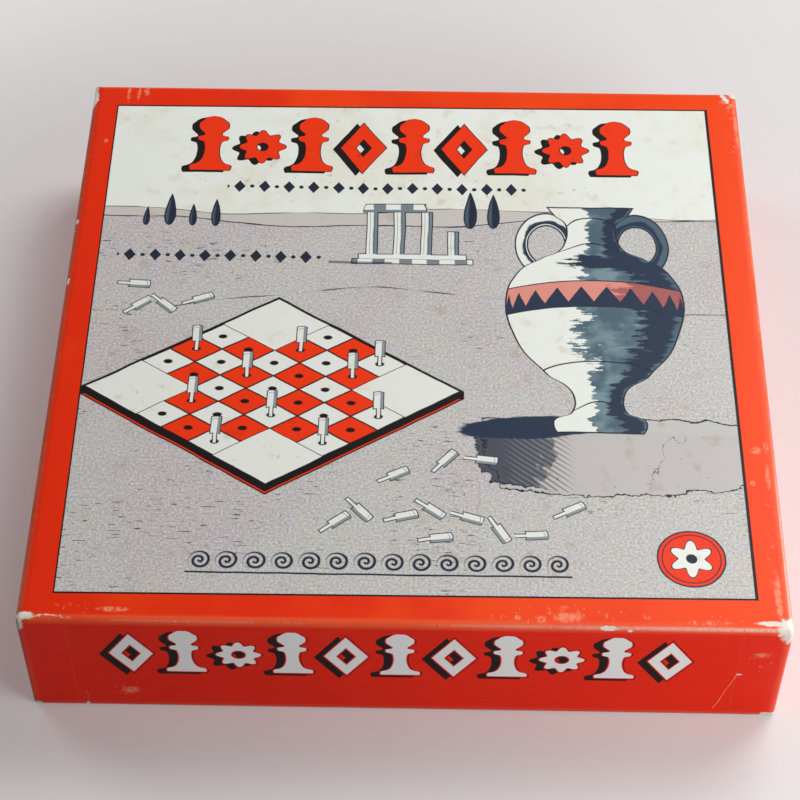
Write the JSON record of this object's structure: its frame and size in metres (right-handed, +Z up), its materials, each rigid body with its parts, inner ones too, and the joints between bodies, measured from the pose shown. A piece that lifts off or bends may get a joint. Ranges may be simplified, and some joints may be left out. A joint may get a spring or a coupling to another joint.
{
  "type": "boxed peg solitaire game",
  "caption": "Closed square telescope box of wrapped chipboard that holds a wooden peg solitaire board with drilled holes, turned pegs standing in it and a folded leaflet.",
  "frame": {"origin": "middle of the tray's underside, on the surface that the box stands on", "axes": "+X to the right along the front wall, +Y to the back, +Z up through the lid"},
  "size_m": [0.216, 0.216, 0.0444],
  "materials": {
    "lid_print": "satin",
    "tray_paper": "matte",
    "chipboard": "matte",
    "kraft_tape": "satin",
    "leaflet_paper": "matte",
    "board_wood": "satin",
    "board_print": "satin",
    "peg_wood": "satin"
  },
  "bodies": {
    "tray": {"tray_shell": "chipboard", "tray_wrap": "tray_paper", "tray_corner_stay_1": "kraft_tape", "tray_corner_stay_2": "kraft_tape", "tray_corner_stay_3": "kraft_tape", "tray_corner_stay_4": "kraft_tape"},
    "leaflet": {"rules_leaflet": "leaflet_paper"},
    "board": {"board_core": "board_wood", "board_face": "board_print"},
    "lid": {"lid_shell": "chipboard", "lid_wrap": "lid_print", "lid_corner_stay_1": "kraft_tape", "lid_corner_stay_2": "kraft_tape", "lid_corner_stay_3": "kraft_tape", "lid_corner_stay_4": "kraft_tape"},
    "peg_c1": {"peg_c1": "peg_wood"},
    "peg_d1": {"peg_d1": "peg_wood"},
    "peg_e1": {"peg_e1": "peg_wood"},
    "peg_c2": {"peg_c2": "peg_wood"},
    "peg_d2": {"peg_d2": "peg_wood"},
    "peg_e2": {"peg_e2": "peg_wood"},
    "peg_a3": {"peg_a3": "peg_wood"},
    "peg_b3": {"peg_b3": "peg_wood"},
    "peg_c3": {"peg_c3": "peg_wood"},
    "peg_d3": {"peg_d3": "peg_wood"},
    "peg_e3": {"peg_e3": "peg_wood"},
    "peg_f3": {"peg_f3": "peg_wood"},
    "peg_g3": {"peg_g3": "peg_wood"},
    "peg_a4": {"peg_a4": "peg_wood"},
    "peg_b4": {"peg_b4": "peg_wood"},
    "peg_c4": {"peg_c4": "peg_wood"},
    "peg_e4": {"peg_e4": "peg_wood"},
    "peg_f4": {"peg_f4": "peg_wood"},
    "peg_g4": {"peg_g4": "peg_wood"},
    "peg_a5": {"peg_a5": "peg_wood"},
    "peg_b5": {"peg_b5": "peg_wood"},
    "peg_c5": {"peg_c5": "peg_wood"},
    "peg_d5": {"peg_d5": "peg_wood"},
    "peg_e5": {"peg_e5": "peg_wood"},
    "peg_f5": {"peg_f5": "peg_wood"},
    "peg_g5": {"peg_g5": "peg_wood"},
    "peg_c6": {"peg_c6": "peg_wood"},
    "peg_d6": {"peg_d6": "peg_wood"},
    "peg_e6": {"peg_e6": "peg_wood"},
    "peg_c7": {"peg_c7": "peg_wood"},
    "peg_d7": {"peg_d7": "peg_wood"},
    "peg_e7": {"peg_e7": "peg_wood"}
  },
  "joints": [
    {"name": "lid_lift", "type": "slide", "parent": "board", "child": "lid", "axis": [0, 0, 1], "range_m": [0, 0.1]},
    {"name": "board_lift", "type": "slide", "parent": "leaflet", "child": "board", "axis": [0, 0, 1], "range_m": [0, 0.06]},
    {"name": "leaflet_lift", "type": "slide", "parent": "tray", "child": "leaflet", "axis": [0, 0, 1], "range_m": [0, 0.05]},
    {"name": "peg_c1_pull", "type": "slide", "parent": "board", "child": "peg_c1", "axis": [0, 0, 1], "range_m": [0, 0.012]},
    {"name": "peg_d1_pull", "type": "slide", "parent": "board", "child": "peg_d1", "axis": [0, 0, 1], "range_m": [0, 0.012]},
    {"name": "peg_e1_pull", "type": "slide", "parent": "board", "child": "peg_e1", "axis": [0, 0, 1], "range_m": [0, 0.012]},
    {"name": "peg_c2_pull", "type": "slide", "parent": "board", "child": "peg_c2", "axis": [0, 0, 1], "range_m": [0, 0.012]},
    {"name": "peg_d2_pull", "type": "slide", "parent": "board", "child": "peg_d2", "axis": [0, 0, 1], "range_m": [0, 0.012]},
    {"name": "peg_e2_pull", "type": "slide", "parent": "board", "child": "peg_e2", "axis": [0, 0, 1], "range_m": [0, 0.012]},
    {"name": "peg_a3_pull", "type": "slide", "parent": "board", "child": "peg_a3", "axis": [0, 0, 1], "range_m": [0, 0.012]},
    {"name": "peg_b3_pull", "type": "slide", "parent": "board", "child": "peg_b3", "axis": [0, 0, 1], "range_m": [0, 0.012]},
    {"name": "peg_c3_pull", "type": "slide", "parent": "board", "child": "peg_c3", "axis": [0, 0, 1], "range_m": [0, 0.012]},
    {"name": "peg_d3_pull", "type": "slide", "parent": "board", "child": "peg_d3", "axis": [0, 0, 1], "range_m": [0, 0.012]},
    {"name": "peg_e3_pull", "type": "slide", "parent": "board", "child": "peg_e3", "axis": [0, 0, 1], "range_m": [0, 0.012]},
    {"name": "peg_f3_pull", "type": "slide", "parent": "board", "child": "peg_f3", "axis": [0, 0, 1], "range_m": [0, 0.012]},
    {"name": "peg_g3_pull", "type": "slide", "parent": "board", "child": "peg_g3", "axis": [0, 0, 1], "range_m": [0, 0.012]},
    {"name": "peg_a4_pull", "type": "slide", "parent": "board", "child": "peg_a4", "axis": [0, 0, 1], "range_m": [0, 0.012]},
    {"name": "peg_b4_pull", "type": "slide", "parent": "board", "child": "peg_b4", "axis": [0, 0, 1], "range_m": [0, 0.012]},
    {"name": "peg_c4_pull", "type": "slide", "parent": "board", "child": "peg_c4", "axis": [0, 0, 1], "range_m": [0, 0.012]},
    {"name": "peg_e4_pull", "type": "slide", "parent": "board", "child": "peg_e4", "axis": [0, 0, 1], "range_m": [0, 0.012]},
    {"name": "peg_f4_pull", "type": "slide", "parent": "board", "child": "peg_f4", "axis": [0, 0, 1], "range_m": [0, 0.012]},
    {"name": "peg_g4_pull", "type": "slide", "parent": "board", "child": "peg_g4", "axis": [0, 0, 1], "range_m": [0, 0.012]},
    {"name": "peg_a5_pull", "type": "slide", "parent": "board", "child": "peg_a5", "axis": [0, 0, 1], "range_m": [0, 0.012]},
    {"name": "peg_b5_pull", "type": "slide", "parent": "board", "child": "peg_b5", "axis": [0, 0, 1], "range_m": [0, 0.012]},
    {"name": "peg_c5_pull", "type": "slide", "parent": "board", "child": "peg_c5", "axis": [0, 0, 1], "range_m": [0, 0.012]},
    {"name": "peg_d5_pull", "type": "slide", "parent": "board", "child": "peg_d5", "axis": [0, 0, 1], "range_m": [0, 0.012]},
    {"name": "peg_e5_pull", "type": "slide", "parent": "board", "child": "peg_e5", "axis": [0, 0, 1], "range_m": [0, 0.012]},
    {"name": "peg_f5_pull", "type": "slide", "parent": "board", "child": "peg_f5", "axis": [0, 0, 1], "range_m": [0, 0.012]},
    {"name": "peg_g5_pull", "type": "slide", "parent": "board", "child": "peg_g5", "axis": [0, 0, 1], "range_m": [0, 0.012]},
    {"name": "peg_c6_pull", "type": "slide", "parent": "board", "child": "peg_c6", "axis": [0, 0, 1], "range_m": [0, 0.012]},
    {"name": "peg_d6_pull", "type": "slide", "parent": "board", "child": "peg_d6", "axis": [0, 0, 1], "range_m": [0, 0.012]},
    {"name": "peg_e6_pull", "type": "slide", "parent": "board", "child": "peg_e6", "axis": [0, 0, 1], "range_m": [0, 0.012]},
    {"name": "peg_c7_pull", "type": "slide", "parent": "board", "child": "peg_c7", "axis": [0, 0, 1], "range_m": [0, 0.012]},
    {"name": "peg_d7_pull", "type": "slide", "parent": "board", "child": "peg_d7", "axis": [0, 0, 1], "range_m": [0, 0.012]},
    {"name": "peg_e7_pull", "type": "slide", "parent": "board", "child": "peg_e7", "axis": [0, 0, 1], "range_m": [0, 0.012]}
  ]
}
